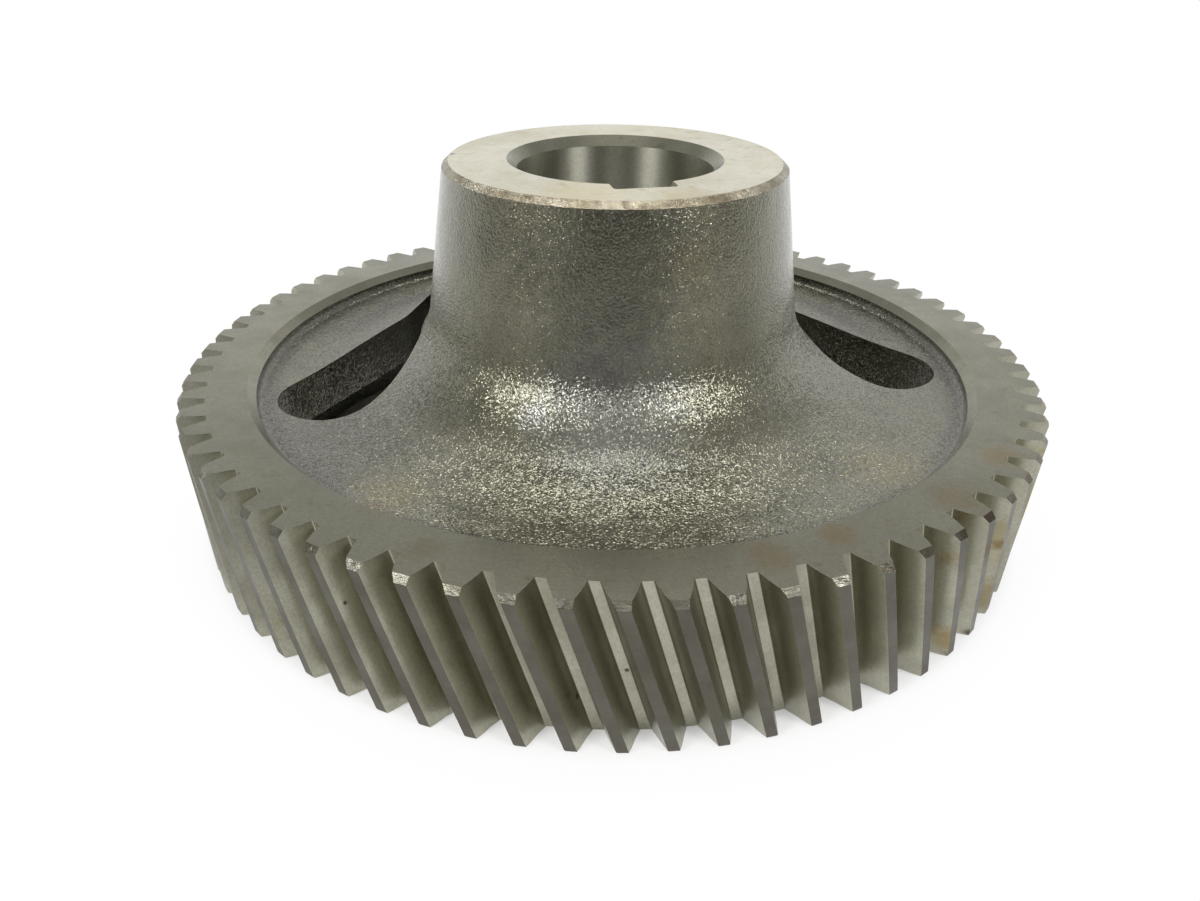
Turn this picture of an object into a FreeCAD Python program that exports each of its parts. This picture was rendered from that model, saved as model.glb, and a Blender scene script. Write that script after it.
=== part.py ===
import FreeCAD, Part
import math
import os
import re

import Sketcher
from FreeCAD import Placement, Rotation, Vector

# Camshaft gear: a helical-toothed rim, a web with two windows and a tall keyed hub, all in one piece.
# The frame's origin is on the gear's axis, in the plane of the lower tooth face. +Z runs up the hub.
NODE = "camshaft_gear"

# Driving sizes: millimetres, degrees and counts. Heights are measured from the lower tooth face.
SIZES = {
    # Teeth, left-hand helix
    "tooth_count": 68,
    "normal_module": 2.54,
    "pressure_angle": 20,
    "helix_angle": 16.5,
    "addendum_modules": 1,
    "dedendum_modules": 1.25,
    "root_land_modules": 0.49,
    "root_corner_modules": 0.18,
    "face_width": 31.75,
    "upper_gap_angle": -92.12,
    "upper_tip_chamfer": 1.1,
    "lower_tip_chamfer": 0.4,
    "cutter_overrun": 1,
    # Rim
    "rim_thickness": 8.1,
    "rim_chamfer": 1.5,
    # Web
    "web_recess": 3.55,
    "web_thickness": 10,
    "web_corner": 1,
    # Hub
    "hub_height": 72.3,
    "hub_radius": 34.6,
    "hub_chamfer_width": 1.35,
    "hub_chamfer_height": 1.1,
    "hub_draft": 10,
    "flare_radius": 17,
    "flare_foot_slope": 11,
    "flare_foot_width": 9.05,
    "boss_radius": 32,
    # Bore and keyway
    "bore_radius": 19.84,
    "upper_bore_chamfer": 1.9,
    "lower_bore_chamfer": 1,
    "keyway_width": 12,
    "keyway_depth": 4.96,
    "keyway_fillet": 0.8,
    "keyway_angle": -77.5,
    # Windows, one each side of the line at window_mid_angle
    "window_mid_angle": 98.2,
    "window_spread": 56.3,
    "window_offset": 46,
    "window_half_width": 11.2,
    "window_front_reach": 42,
    "window_bend_reach": 2,
    "window_bend": 17,
    "window_back_reach": 19,
    "window_bend_fillet": 20,
    "core_margin": 7.4,
}

document = FreeCAD.newDocument("CamshaftGear")
sheet = document.addObject("Spreadsheet::Sheet", "Sizes")
for row, (alias, size) in enumerate(SIZES.items(), start=1):
    sheet.set(f"A{row}", alias)
    sheet.set(f"B{row}", str(size))
    sheet.setAlias(f"B{row}", alias)
document.recompute()


def bound(formula):
    """The formula with each size's name turned into its cell of the sheet."""
    return re.sub(r"[a-z_]+", lambda word: f"Sizes.{word[0]}" if word[0] in SIZES else word[0], formula)


def value(formula):
    """What a formula gives now, in millimetres, degrees or a plain number."""
    result = sheet.evalExpression(bound(formula))
    return getattr(result, "Value", result)


def new_sketch(body, name, role, height="0", turn="0"):
    """A sketch on one of a body's base planes, lifted and turned about the gear's axis by two formulas."""
    sketch = body.newObject("Sketcher::SketchObject", name)
    base_plane = next(plane for plane in body.Origin.OriginFeatures if plane.Role == role)
    sketch.AttachmentSupport = (base_plane, [""])
    sketch.MapMode = "FlatFace"
    sketch.AttachmentOffset = Placement(Vector(0, 0, value(height)), Rotation(Vector(0, 0, 1), value(turn)))
    sketch.setExpression(".AttachmentOffset.Base.z", bound(height))
    sketch.setExpression(".AttachmentOffset.Rotation.Angle", bound(turn))
    return sketch


def corner(across, up, arc=None, fillet=None):
    """A corner of an outline. arc is the radius of the edge that arrives there, and minus turns it clockwise."""
    return {"across": across, "up": up, "arc": arc, "fillet": fillet}


def arc_middle(start, end, radius):
    """The middle of an arc between two points, which turns left where the radius is positive."""
    chord = end - start
    side = Vector(-chord.y, chord.x, 0).normalize()
    reach = math.sqrt(radius ** 2 - chord.Length ** 2 / 4)
    centre = (start + end) * 0.5 + side * math.copysign(reach, radius)
    return centre - side * radius


def add_arc(sketch, start, middle, end):
    """Adds an arc and gives its number, and the numbers of its start and end points."""
    turns_left = (middle - start).cross(end - middle).z > 0
    arc = Part.Arc(start, middle, end) if turns_left else Part.Arc(end, middle, start)
    ends = (1, 2) if turns_left else (2, 1)
    return (sketch.addGeometry(arc), *ends)


def fillet_points(before, at, after, radius):
    """Where a fillet starts, its middle and where it ends."""
    back = (before - at).normalize()
    ahead = (after - at).normalize()
    half_angle = back.getAngle(ahead) / 2
    inward = (back + ahead).normalize()
    cut = radius / math.tan(half_angle)
    middle = at + inward * (radius / math.sin(half_angle) - radius)
    return at + back * cut, middle, at + ahead * cut


def bind(sketch, kind, *geometry, size):
    """Adds a dimension to a sketch, tied to a formula."""
    number = sketch.addConstraint(Sketcher.Constraint(kind, *geometry, value(size)))
    sketch.setExpression(f"Constraints[{number}]", bound(size))


def place(sketch, geometry, point, spot):
    """Ties a point of a sketch to a corner's two formulas."""
    bind(sketch, "DistanceX", -1, 1, geometry, point, size=spot["across"])
    bind(sketch, "DistanceY", -1, 1, geometry, point, size=spot["up"])


def draw(sketch, corners):
    """Draws a closed outline of straight lines, arcs and fillets."""
    spots = [Vector(value(spot["across"]), value(spot["up"]), 0) for spot in corners]
    count = len(corners)
    rounded = {}
    for number, spot in enumerate(corners):
        if spot["fillet"]:
            after = spots[(number + 1) % count]
            rounded[number] = fillet_points(spots[number - 1], spots[number], after, value(spot["fillet"]))

    edges = []
    for number, spot in enumerate(corners):
        before = (number - 1) % count
        start = rounded[before][2] if before in rounded else spots[before]
        end = rounded[number][0] if number in rounded else spots[number]
        if spot["arc"]:
            edge = add_arc(sketch, start, arc_middle(start, end, value(spot["arc"])), end)
            bind(sketch, "Radius", edge[0], size=spot["arc"].lstrip("-"))
        else:
            edge = (sketch.addGeometry(Part.LineSegment(start, end)), 1, 2)
        edges.append(edge)

    for number, spot in enumerate(corners):
        arriving, _, arriving_end = edges[number]
        leaving, leaving_start, _ = edges[(number + 1) % count]
        if number in rounded:
            arc, arc_start, arc_end = add_arc(sketch, *rounded[number])
            tip = sketch.addGeometry(Part.Point(spots[number]), True)
            sketch.addConstraint(Sketcher.Constraint("PointOnObject", tip, 1, arriving))
            sketch.addConstraint(Sketcher.Constraint("PointOnObject", tip, 1, leaving))
            sketch.addConstraint(Sketcher.Constraint("Tangent", arriving, arriving_end, arc, arc_start))
            sketch.addConstraint(Sketcher.Constraint("Tangent", leaving, leaving_start, arc, arc_end))
            bind(sketch, "Radius", arc, size=spot["fillet"])
            place(sketch, tip, 1, spot)
        else:
            sketch.addConstraint(
                Sketcher.Constraint("Coincident", arriving, arriving_end, leaving, leaving_start)
            )
            place(sketch, arriving, arriving_end, spot)


def volume_of(feature):
    """The volume up to a feature, after a rebuild."""
    document.recompute()
    return feature.Shape.Volume


# Tooth geometry in the plane across the axis
PITCH_RADIUS = "(tooth_count * normal_module / cos(helix_angle) / 2)"
TIP_RADIUS = f"({PITCH_RADIUS} + addendum_modules * normal_module)"
ROOT_RADIUS = f"({PITCH_RADIUS} - dedendum_modules * normal_module)"
PRESSURE_ACROSS = "atan(tan(pressure_angle) / cos(helix_angle))"
BASE_RADIUS = f"({PITCH_RADIUS} * cos({PRESSURE_ACROSS}))"
TWIST_PER_MM = f"(180 / pi * tan(helix_angle) / {PITCH_RADIUS})"


def involute(angle):
    """The involute function of an angle."""
    return f"(tan({angle}) * 180 / pi - {angle} / 1 deg)"


def half_gap(radius):
    """Half the angle of a tooth space at a radius."""
    return f"(90 / tooth_count - {involute(PRESSURE_ACROSS)} + {involute(f'acos({BASE_RADIUS} / {radius})')})"


# The blank: rim, web and hub turned about the axis. Its section is drawn from the bore's top, round the outside.
RIM_INSIDE = f"({ROOT_RADIUS} - rim_thickness)"
RIM_WALL = f"({RIM_INSIDE} - rim_chamfer)"
WEB_TOP = "(face_width - web_recess)"
WEB_UNDERSIDE = f"({WEB_TOP} - web_thickness)"
HUB_SHOULDER = "(hub_height - hub_chamfer_height)"
# The flare is an arc between the hub's sloping side and a shallow cone round its foot
FLARE_MIDDLE_HEIGHT = (
    f"({WEB_TOP} + flare_foot_width * tan(flare_foot_slope) + flare_radius * cos(flare_foot_slope))"
)
FLARE_MIDDLE_RADIUS = (
    f"(hub_radius + ({HUB_SHOULDER} - {FLARE_MIDDLE_HEIGHT}) * tan(hub_draft) + flare_radius / cos(hub_draft))"
)
FLARE_END_RADIUS = f"({FLARE_MIDDLE_RADIUS} - flare_radius * sin(flare_foot_slope))"

blank_body = document.addObject("PartDesign::Body", "GearBlank")
section = new_sketch(blank_body, "BlankSection", "XZ_Plane")
draw(section, [
    corner("bore_radius", "lower_bore_chamfer"),
    corner("bore_radius + lower_bore_chamfer", "0"),
    corner("boss_radius", "0"),
    corner("boss_radius", WEB_UNDERSIDE),
    corner(RIM_WALL, WEB_UNDERSIDE),
    corner(RIM_WALL, "0"),
    corner(f"{TIP_RADIUS} - lower_tip_chamfer", "0"),
    corner(TIP_RADIUS, "lower_tip_chamfer"),
    corner(TIP_RADIUS, "face_width - upper_tip_chamfer"),
    corner(f"{TIP_RADIUS} - upper_tip_chamfer", "face_width"),
    corner(RIM_INSIDE, "face_width"),
    corner(RIM_WALL, "face_width - rim_chamfer"),
    corner(RIM_WALL, f"{WEB_TOP} + web_corner"),
    corner(f"{RIM_WALL} - web_corner", WEB_TOP),
    corner(f"{FLARE_END_RADIUS} + flare_foot_width", WEB_TOP),
    corner(FLARE_END_RADIUS, f"{FLARE_MIDDLE_HEIGHT} - flare_radius * cos(flare_foot_slope)"),
    corner(
        f"{FLARE_MIDDLE_RADIUS} - flare_radius * cos(hub_draft)",
        f"{FLARE_MIDDLE_HEIGHT} - flare_radius * sin(hub_draft)",
        arc="-flare_radius",
    ),
    corner("hub_radius", HUB_SHOULDER),
    corner("hub_radius - hub_chamfer_width", "hub_height"),
    corner("bore_radius + upper_bore_chamfer", "hub_height"),
    corner("bore_radius", "hub_height - upper_bore_chamfer"),
])
blank = blank_body.newObject("PartDesign::Revolution", "Blank")
blank.Profile = section
blank.ReferenceAxis = (section, ["V_Axis"])
blank.Angle = 360
blank_volume = volume_of(blank)

# The windows: a bent slot through the web on each side, which stops at the hub's round core
FRONT_ARM = "(90 - window_spread)"
BACK_ARM = f"({FRONT_ARM} - window_bend)"
INNER_SIDE = "(window_offset - window_half_width)"
OUTER_SIDE = "(window_offset + window_half_width)"
BACK_OFFSET = "(window_offset * cos(window_bend) - window_bend_reach * sin(window_bend))"
BACK_BEND_REACH = "(window_offset * sin(window_bend) + window_bend_reach * cos(window_bend))"
BACK_INNER_SIDE = f"({BACK_OFFSET} - window_half_width)"
BACK_OUTER_SIDE = f"({BACK_OFFSET} + window_half_width)"
BACK_END = f"({BACK_BEND_REACH} + window_back_reach)"
BEND_CORNER = "(window_half_width / cos(window_bend / 2))"
CORE_RADIUS = "(hub_radius + core_margin)"


def on_arm(arm, out, forward, **edge):
    """A corner at a distance out from the axis, square to an arm, and a distance forward along it."""
    return corner(
        f"{out} * cos({arm}) + {forward} * sin({arm})",
        f"{out} * sin({arm}) - {forward} * cos({arm})",
        **edge,
    )


BEND = f"({FRONT_ARM} - window_bend / 2)"
window_outline = new_sketch(blank_body, "WindowOutline", "XY_Plane", turn="window_mid_angle - 90")
draw(window_outline, [
    on_arm(FRONT_ARM, INNER_SIDE, "window_front_reach"),
    on_arm(FRONT_ARM, "window_offset", "(window_front_reach + window_half_width)", arc="window_half_width"),
    on_arm(FRONT_ARM, OUTER_SIDE, "window_front_reach", arc="window_half_width"),
    corner(
        f"window_offset * cos({FRONT_ARM}) - window_bend_reach * sin({FRONT_ARM}) + {BEND_CORNER} * cos({BEND})",
        f"window_offset * sin({FRONT_ARM}) + window_bend_reach * cos({FRONT_ARM}) + {BEND_CORNER} * sin({BEND})",
        fillet="window_bend_fillet",
    ),
    on_arm(BACK_ARM, BACK_OUTER_SIDE, f"-{BACK_END}"),
    on_arm(BACK_ARM, BACK_OFFSET, f"-({BACK_END} + window_half_width)", arc="window_half_width"),
    on_arm(BACK_ARM, BACK_INNER_SIDE, f"-{BACK_END}", arc="window_half_width"),
    on_arm(BACK_ARM, BACK_INNER_SIDE, f"-sqrt({CORE_RADIUS} ^ 2 - {BACK_INNER_SIDE} ^ 2)"),
    on_arm(FRONT_ARM, INNER_SIDE, f"sqrt({CORE_RADIUS} ^ 2 - {INNER_SIDE} ^ 2)", arc=f"-{CORE_RADIUS}"),
])
window = blank_body.newObject("PartDesign::Pocket", "Window")
window.Profile = window_outline
window.Type = "ThroughAll"
window.Reversed = True
windows = blank_body.newObject("PartDesign::Mirrored", "Windows")
windows.Originals = [window]
windows.MirrorPlane = (window_outline, ["V_Axis"])
blank_body.Tip = windows
windows_volume = volume_of(windows)

# The keyway, cut along the whole bore
KEYWAY_FLOOR = "(bore_radius + keyway_depth)"
keyway_outline = new_sketch(blank_body, "KeywayOutline", "XY_Plane", turn="keyway_angle")
draw(keyway_outline, [
    corner("0", "-keyway_width / 2"),
    corner(KEYWAY_FLOOR, "-keyway_width / 2", fillet="keyway_fillet"),
    corner(KEYWAY_FLOOR, "keyway_width / 2", fillet="keyway_fillet"),
    corner("0", "keyway_width / 2"),
])
keyway = blank_body.newObject("PartDesign::Pocket", "Keyway")
keyway.Profile = keyway_outline
keyway.Type = "ThroughAll"
keyway.Reversed = True
keyway_volume = volume_of(keyway)

# One tooth space, lofted along the helix from just under the gear to just over it, and repeated round the rim.
# Its flanks are arcs through the involute's ends, as round as the involute is at the pitch circle.
# Its root is a narrow land with a cut corner on each side.
GAP_MOUTH = f"({TIP_RADIUS} + cutter_overrun)"
GAP_FOOT = f"({ROOT_RADIUS} + root_corner_modules * normal_module)"
FLANK_ROUND = f"({BASE_RADIUS} * tan({PRESSURE_ACROSS}))"
ROOT_LAND = "(root_land_modules * normal_module)"


def on_flank(radius, side, **edge):
    """A corner on one flank of the tooth space. side is empty or a minus sign."""
    return corner(f"{radius} * cos({half_gap(radius)})", f"{side}{radius} * sin({half_gap(radius)})", **edge)


gap_body = document.addObject("PartDesign::Body", "ToothSpaces")
gap_body.AllowCompound = True
gap_sections = []
for name, height in (("GapBelow", "-cutter_overrun"), ("GapAbove", "face_width + cutter_overrun")):
    turn = f"upper_gap_angle + (face_width - ({height})) * {TWIST_PER_MM}"
    gap_sections.append(new_sketch(gap_body, name, "XY_Plane", height, turn))
    draw(gap_sections[-1], [
        on_flank(GAP_FOOT, "-"),
        on_flank(GAP_MOUTH, "-", arc=f"-{FLANK_ROUND}"),
        on_flank(GAP_MOUTH, ""),
        on_flank(GAP_FOOT, "", arc=f"-{FLANK_ROUND}"),
        corner(ROOT_RADIUS, f"{ROOT_LAND} / 2"),
        corner(ROOT_RADIUS, f"-{ROOT_LAND} / 2"),
    ])
gap = gap_body.newObject("PartDesign::AdditiveLoft", "ToothSpace")
gap.Profile = gap_sections[0]
gap.Sections = gap_sections[1:]
gap.Ruled = True
gaps = gap_body.newObject("PartDesign::PolarPattern", "ToothSpaceRing")
gaps.Originals = [gap]
gaps.Axis = (gap_sections[0], ["N_Axis"])
gaps.Angle = 360
gaps.setExpression("Occurrences", bound("tooth_count"))
gap_body.Tip = gaps

gear = document.addObject("Part::Cut", "Gear")
gear.Label = NODE
gear.Base = blank_body
gear.Tool = gap_body
gear.Placement = Placement()
gear_volume = volume_of(gear)

# Each cut has to take something away
volumes = [blank_volume, windows_volume, keyway_volume, gear_volume]
for larger, smaller in zip(volumes, volumes[1:]):
    if smaller >= larger:
        raise RuntimeError(f"a cut took nothing away: {volumes}")
for item in document.Objects:
    if "Invalid" in item.State or "Error" in item.State:
        raise RuntimeError(f"{item.Name} failed: {item.State}")
if gear.Shape.isNull() or not gear.Shape.isValid() or len(gear.Shape.Solids) != 1:
    raise RuntimeError(f"{gear.Label} is not one sound solid")

os.makedirs("parts", exist_ok=True)
gear.Shape.exportStep(f"parts/{gear.Label}.step")
print("volumes in cubic millimetres:", [round(volume) for volume in volumes])
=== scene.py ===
import math

import bmesh
import bpy
from mathutils import Matrix, Vector


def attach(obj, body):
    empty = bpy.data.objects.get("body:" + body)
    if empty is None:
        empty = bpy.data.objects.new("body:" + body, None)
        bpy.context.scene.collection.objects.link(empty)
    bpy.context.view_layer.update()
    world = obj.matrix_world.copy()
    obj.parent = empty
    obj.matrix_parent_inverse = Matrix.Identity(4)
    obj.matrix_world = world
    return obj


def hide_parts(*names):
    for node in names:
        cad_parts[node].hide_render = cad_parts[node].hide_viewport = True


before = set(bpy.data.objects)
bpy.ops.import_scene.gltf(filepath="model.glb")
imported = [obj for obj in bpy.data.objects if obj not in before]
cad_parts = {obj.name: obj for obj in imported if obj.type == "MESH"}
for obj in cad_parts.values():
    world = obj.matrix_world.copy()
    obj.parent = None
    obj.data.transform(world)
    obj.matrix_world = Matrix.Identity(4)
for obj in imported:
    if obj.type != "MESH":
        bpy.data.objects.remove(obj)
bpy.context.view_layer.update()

MM = 0.001

# The gear's sizes in millimetres and degrees, the same as in its source
TOOTH_COUNT = 68
NORMAL_MODULE = 2.54
PRESSURE_ANGLE = 20
HELIX_ANGLE = 16.5
ADDENDUM_MODULES = 1
DEDENDUM_MODULES = 1.25
FACE_WIDTH = 31.75
UPPER_GAP_ANGLE = -92.12
UPPER_TIP_CHAMFER = 1.1
RIM_THICKNESS = 8.1
RIM_CHAMFER = 1.5
WEB_RECESS = 3.55
WEB_THICKNESS = 10
HUB_HEIGHT = 72.3
HUB_RADIUS = 34.6
HUB_CHAMFER_WIDTH = 1.35
HUB_CHAMFER_HEIGHT = 1.1
HUB_DRAFT = 10
FLARE_RADIUS = 17
FLARE_FOOT_SLOPE = 11
FLARE_FOOT_WIDTH = 9.05
BOSS_RADIUS = 32
BORE_RADIUS = 19.84
UPPER_BORE_CHAMFER = 1.9
LOWER_BORE_CHAMFER = 1
KEYWAY_WIDTH = 12
KEYWAY_DEPTH = 4.96
KEYWAY_FILLET = 0.8
KEYWAY_ANGLE = -77.5
WINDOW_MID_ANGLE = 98.2
WINDOW_SPREAD = 56.3
WINDOW_OFFSET = 46
WINDOW_HALF_WIDTH = 11.2
WINDOW_FRONT_REACH = 42
WINDOW_BEND_REACH = 2
WINDOW_BEND = 17
WINDOW_BACK_REACH = 19
WINDOW_BEND_FILLET = 20
CORE_MARGIN = 7.4

# Forms that only this scene draws, or draws finer than the source, in millimetres and degrees.
# The source has cut corners at the teeth's roots and at the web, a chamfer of 0.4 mm on the
# teeth's lower ends, square corners under the web, and no lower chamfer inside the rim.
ROOT_FILLET = 0.3
ROOT_FILLET_TURN = 70
LOWER_TIP_ROUNDING = 0.75
LOWER_TIP_START = 1
WEB_DIP = 0.12
WEB_DIP_HALF_WIDTH = 4.8
WEB_DIP_BEND = 25
FLARE_FOOT_BEND = 40
WEB_CORNER_FILLET = 1.4
UNDERSIDE_FILLET = 3
NICK_PLACE = (-34.9, -0.6, HUB_HEIGHT + 0.4)
NICK_RADIUS = 1.7
SOFT_EDGE = 0.22
SOFT_EDGE_ANGLE = 28

# Sizes that follow from those above. The teeth's are in the plane across the axis.
PITCH_RADIUS = TOOTH_COUNT * NORMAL_MODULE / math.cos(math.radians(HELIX_ANGLE)) / 2
TIP_RADIUS = PITCH_RADIUS + ADDENDUM_MODULES * NORMAL_MODULE
ROOT_RADIUS = PITCH_RADIUS - DEDENDUM_MODULES * NORMAL_MODULE
PRESSURE_ACROSS = math.atan(
    math.tan(math.radians(PRESSURE_ANGLE)) / math.cos(math.radians(HELIX_ANGLE))
)
BASE_RADIUS = PITCH_RADIUS * math.cos(PRESSURE_ACROSS)
TWIST_PER_MM = math.tan(math.radians(HELIX_ANGLE)) / PITCH_RADIUS
PITCH_TURN = 2 * math.pi / TOOTH_COUNT
RIM_INNER_RADIUS = ROOT_RADIUS - RIM_THICKNESS
WEB_HEIGHT = FACE_WIDTH - WEB_RECESS
KEYWAY_REACH = BORE_RADIUS + KEYWAY_DEPTH

# How finely the gear is meshed. The row height is in millimetres.
FLANK_STEPS = 5
TOOTH_ROWS = 8
COLUMNS_PER_TOOTH = 4
ROW_HEIGHT = 2.6

# Distances in millimetres: below the first, two places count as one, and below the second, the
# points on both sides of the seam between teeth and core are merged
NEAR = 0.01
SEAM = 0.02

# The cutters, in millimetres. They run past the gear at both ends.
CUT_OVERRUN = 5
WINDOW_CUT_TOP = 60
CORE_CUT_SEGMENTS = 240
CORE_CUT_MIDDLE = 27
CORE_CUT_LENGTH = 80

UP = Vector((0, 0, 1))


def polar(radius, turn, height):
    """A place at a radius and a turn about the axis, in metres."""
    return Vector((radius * math.cos(turn), radius * math.sin(turn), height)) * MM


def involute(angle):
    """How far an involute has turned where its pressure angle is this one."""
    return math.tan(angle) - angle


def half_gap(radius):
    """Half the angle of a tooth space at a radius."""
    return PITCH_TURN / 4 - involute(PRESSURE_ACROSS) + involute(math.acos(BASE_RADIUS / radius))


def round_corner(mesh, corner, radius, turn, segments):
    """Rounds a corner of an open or closed line to an arc that turns by an angle."""
    bmesh.ops.bevel(
        mesh,
        geom=[corner],
        offset=radius * math.tan(turn / 2) * MM,
        offset_type="OFFSET",
        segments=segments,
        profile=0.5,
        affect="VERTICES",
        clamp_overlap=False,
        material=-1,
    )


def make_object(name, mesh):
    """Turns a bmesh into an object of the scene."""
    data = bpy.data.meshes.new(name)
    mesh.to_mesh(data)
    mesh.free()
    piece = bpy.data.objects.new(name, data)
    bpy.context.scene.collection.objects.link(piece)
    return piece


def cut_away(piece, cutter):
    """Cuts one closed shape out of another and removes the cutter."""
    cut = piece.modifiers.new("cut", "BOOLEAN")
    cut.operation = "DIFFERENCE"
    cut.solver = "EXACT"
    cut.object = cutter
    graph = bpy.context.evaluated_depsgraph_get()
    piece.data = bpy.data.meshes.new_from_object(piece.evaluated_get(graph))
    piece.modifiers.clear()
    bpy.data.objects.remove(cutter)


# Core: the rim's inside, the web, the flared hub and the bore, spun from their section
def spin_core(mesh):
    """Spins the section of everything inside the teeth."""
    draft = math.radians(HUB_DRAFT)
    slope = math.radians(FLARE_FOOT_SLOPE)
    shoulder = HUB_HEIGHT - HUB_CHAMFER_HEIGHT
    rim_wall = RIM_INNER_RADIUS - RIM_CHAMFER
    underside = WEB_HEIGHT - WEB_THICKNESS
    dip = math.atan(WEB_DIP / WEB_DIP_HALF_WIDTH)
    # The middle of the flare's arc, and where the foot's cone meets the web
    middle_height = WEB_HEIGHT + FLARE_FOOT_WIDTH * math.tan(slope) + FLARE_RADIUS * math.cos(slope)
    middle_radius = (
        HUB_RADIUS + (shoulder - middle_height) * math.tan(draft) + FLARE_RADIUS / math.cos(draft)
    )
    foot_radius = middle_radius - FLARE_RADIUS * math.sin(slope) + FLARE_FOOT_WIDTH
    # Where the hub's side and the foot's cone would meet without the flare's arc
    meeting = (
        HUB_RADIUS + (shoulder - WEB_HEIGHT - foot_radius * math.tan(slope)) * math.tan(draft)
    ) / (1 - math.tan(slope) * math.tan(draft))
    meeting_height = WEB_HEIGHT + (foot_radius - meeting) * math.tan(slope)

    # Radius, height, and the radius, turn and segments of its rounding
    quarter = math.pi / 2
    corners = [
        (RIM_INNER_RADIUS, FACE_WIDTH, None),
        (rim_wall, FACE_WIDTH - RIM_CHAMFER, None),
        (rim_wall, WEB_HEIGHT, (WEB_CORNER_FILLET, quarter, 4)),
        (foot_radius + 2 * WEB_DIP_HALF_WIDTH, WEB_HEIGHT, (WEB_DIP_BEND, dip, 3)),
        (foot_radius + WEB_DIP_HALF_WIDTH, WEB_HEIGHT - WEB_DIP, (WEB_DIP_BEND, 2 * dip, 4)),
        (foot_radius, WEB_HEIGHT, (FLARE_FOOT_BEND, slope - dip, 3)),
        (meeting, meeting_height, (FLARE_RADIUS, quarter - draft - slope, 18)),
        (HUB_RADIUS, shoulder, None),
        (HUB_RADIUS - HUB_CHAMFER_WIDTH, HUB_HEIGHT, None),
        (BORE_RADIUS + UPPER_BORE_CHAMFER, HUB_HEIGHT, None),
        (BORE_RADIUS, HUB_HEIGHT - UPPER_BORE_CHAMFER, None),
        (BORE_RADIUS, LOWER_BORE_CHAMFER, None),
        (BORE_RADIUS + LOWER_BORE_CHAMFER, 0, None),
        (BOSS_RADIUS, 0, None),
        (BOSS_RADIUS, underside, (UNDERSIDE_FILLET, quarter, 5)),
        (rim_wall, underside, (UNDERSIDE_FILLET, quarter, 5)),
        (rim_wall, RIM_CHAMFER, None),
        (RIM_INNER_RADIUS, 0, None),
    ]
    spots = [mesh.verts.new(Vector((radius, 0, height)) * MM) for radius, height, _ in corners]
    for start, end in zip(spots, spots[1:]):
        mesh.edges.new((start, end))
    for spot, (_, _, rounding) in zip(spots, corners):
        if rounding:
            round_corner(mesh, spot, *rounding)
    for edge in mesh.edges[:]:
        rise = abs(edge.verts[0].co.z - edge.verts[1].co.z)
        if rise > ROW_HEIGHT * MM:
            bmesh.ops.subdivide_edges(mesh, edges=[edge], cuts=int(rise / (ROW_HEIGHT * MM)))
    bmesh.ops.spin(
        mesh,
        geom=mesh.verts[:] + mesh.edges[:],
        cent=(0, 0, 0),
        axis=UP,
        dvec=(0, 0, 0),
        angle=2 * math.pi,
        steps=TOOTH_COUNT * COLUMNS_PER_TOOTH,
        use_merge=True,
    )


# Teeth: one tooth, straight at first, between the middles of the spaces beside it
def draw_tooth(mesh):
    """Draws one tooth's upper face, draws its outline down to the lower face and cuts the tip's ends back."""
    depth = TIP_RADIUS - ROOT_RADIUS
    radii = [ROOT_RADIUS + depth * step / FLANK_STEPS for step in range(FLANK_STEPS + 1)]
    outline = [(ROOT_RADIUS, 0)] + [(radius, half_gap(radius)) for radius in radii]
    outline += [(radius, PITCH_TURN - turn) for radius, turn in reversed(outline)]
    inner = [
        (RIM_INNER_RADIUS, PITCH_TURN * (1 - step / COLUMNS_PER_TOOTH))
        for step in range(COLUMNS_PER_TOOTH + 1)
    ]

    spots = [mesh.verts.new(polar(radius, turn, FACE_WIDTH)) for radius, turn in outline + inner]
    mesh.faces.new(spots)
    for corner in (spots[1], spots[len(outline) - 2]):
        round_corner(mesh, corner, ROOT_FILLET, math.radians(ROOT_FILLET_TURN), 4)
    row = [
        edge for edge in mesh.edges
        if all(spot.co.xy.length > (ROOT_RADIUS - NEAR) * MM for spot in edge.verts)
    ]
    lower = bmesh.ops.duplicate(mesh, geom=mesh.faces[:])
    lower_spots = [item for item in lower["geom"] if isinstance(item, bmesh.types.BMVert)]
    bmesh.ops.translate(mesh, verts=lower_spots, vec=-UP * FACE_WIDTH * MM)

    for _ in range(TOOTH_ROWS):
        drawn = bmesh.ops.extrude_edge_only(mesh, edges=row)["geom"]
        row = [item for item in drawn if isinstance(item, bmesh.types.BMEdge)]
        spots = [item for item in drawn if isinstance(item, bmesh.types.BMVert)]
        bmesh.ops.translate(mesh, verts=spots, vec=-UP * FACE_WIDTH / TOOTH_ROWS * MM)
    bmesh.ops.remove_doubles(mesh, verts=mesh.verts[:], dist=NEAR * MM)
    bmesh.ops.recalc_face_normals(mesh, faces=mesh.faces[:])

    # The tip's upper end is chamfered, and the whole head of the tooth is rounded at the lower face.
    # Each end has its height, the radius it starts above, its size and its segments.
    upper_end = (FACE_WIDTH, TIP_RADIUS - NEAR, UPPER_TIP_CHAMFER, 1)
    lower_end = (0, ROOT_RADIUS + LOWER_TIP_START, LOWER_TIP_ROUNDING, 3)
    for height, above, reach, segments in (upper_end, lower_end):
        ends = [
            edge for edge in mesh.edges
            if all(
                abs(spot.co.z - height * MM) < NEAR * MM and spot.co.xy.length > above * MM
                for spot in edge.verts
            )
        ]
        bmesh.ops.bevel(
            mesh,
            geom=ends,
            offset=reach * MM,
            offset_type="OFFSET",
            segments=segments,
            profile=0.5,
            affect="EDGES",
            material=-1,
        )


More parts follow.
